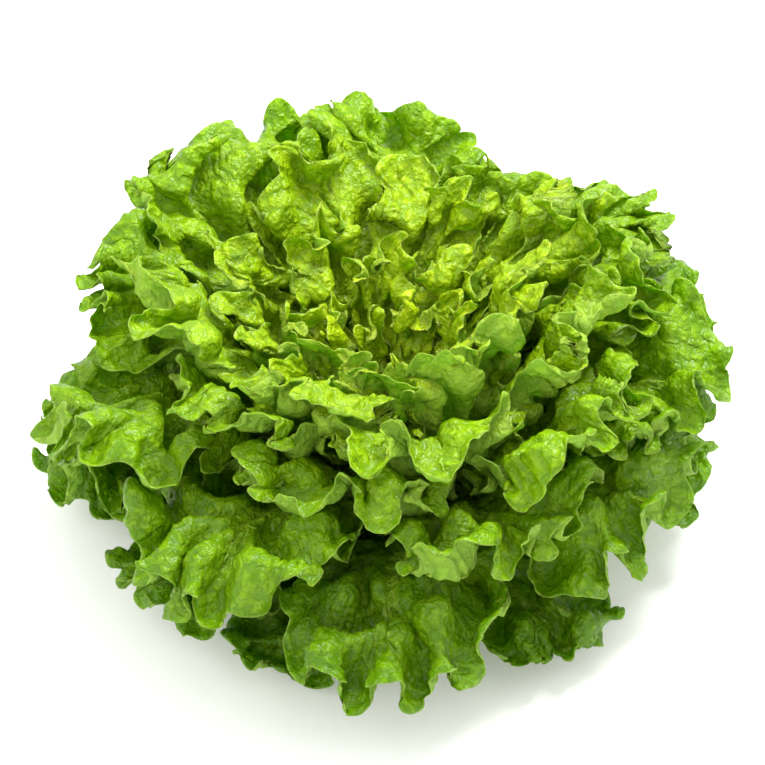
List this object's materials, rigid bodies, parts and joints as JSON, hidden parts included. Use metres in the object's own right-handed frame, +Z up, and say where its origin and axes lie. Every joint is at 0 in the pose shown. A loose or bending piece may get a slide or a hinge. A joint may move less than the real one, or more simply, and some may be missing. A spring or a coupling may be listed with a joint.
{
  "type": "head of lettuce",
  "caption": "Head of green loose-leaf lettuce with frilled leaves round an open heart, standing on its cut stem.",
  "frame": {"origin": "centre of the cut at the foot of the stem, on the surface the head stands on", "axes": "+Z up the stem, away from the cut; the lowest leaf grows towards -Y"},
  "size_m": [0.3136, 0.2963, 0.1403],
  "materials": {
    "outer_leaf": "satin",
    "middle_leaf": "satin",
    "heart_leaf": "satin",
    "heart_bud": "satin",
    "stem": "matte"
  },
  "bodies": {
    "root": {"stem": "stem", "heart_bud": "heart_bud", "outer_leaf_01": "outer_leaf", "outer_leaf_02": "outer_leaf", "outer_leaf_03": "outer_leaf", "outer_leaf_04": "outer_leaf", "outer_leaf_05": "outer_leaf", "outer_leaf_06": "outer_leaf", "outer_leaf_07": "outer_leaf", "outer_leaf_08": "outer_leaf", "outer_leaf_09": "outer_leaf", "outer_leaf_10": "outer_leaf", "outer_leaf_11": "outer_leaf", "outer_leaf_12": "outer_leaf", "outer_leaf_13": "outer_leaf", "outer_leaf_14": "outer_leaf", "outer_leaf_15": "outer_leaf", "outer_leaf_16": "outer_leaf", "outer_leaf_17": "outer_leaf", "outer_leaf_18": "outer_leaf", "middle_leaf_01": "middle_leaf", "middle_leaf_02": "middle_leaf", "middle_leaf_03": "middle_leaf", "middle_leaf_04": "middle_leaf", "middle_leaf_05": "middle_leaf", "middle_leaf_06": "middle_leaf", "middle_leaf_07": "middle_leaf", "middle_leaf_08": "middle_leaf", "middle_leaf_09": "middle_leaf", "middle_leaf_10": "middle_leaf", "middle_leaf_11": "middle_leaf", "middle_leaf_12": "middle_leaf", "middle_leaf_13": "middle_leaf", "middle_leaf_14": "middle_leaf", "middle_leaf_15": "middle_leaf", "middle_leaf_16": "middle_leaf", "middle_leaf_17": "middle_leaf", "middle_leaf_18": "middle_leaf", "middle_leaf_19": "middle_leaf", "middle_leaf_20": "middle_leaf", "heart_leaf_01": "heart_leaf", "heart_leaf_02": "heart_leaf", "heart_leaf_03": "heart_leaf", "heart_leaf_04": "heart_leaf", "heart_leaf_05": "heart_leaf", "heart_leaf_06": "heart_leaf", "heart_leaf_07": "heart_leaf", "heart_leaf_08": "heart_leaf", "heart_leaf_09": "heart_leaf", "heart_leaf_10": "heart_leaf", "heart_leaf_11": "heart_leaf", "heart_leaf_12": "heart_leaf", "heart_leaf_13": "heart_leaf", "heart_leaf_14": "heart_leaf", "heart_leaf_15": "heart_leaf", "heart_leaf_16": "heart_leaf", "heart_leaf_17": "heart_leaf", "heart_leaf_18": "heart_leaf"}
  },
  "joints": []
}
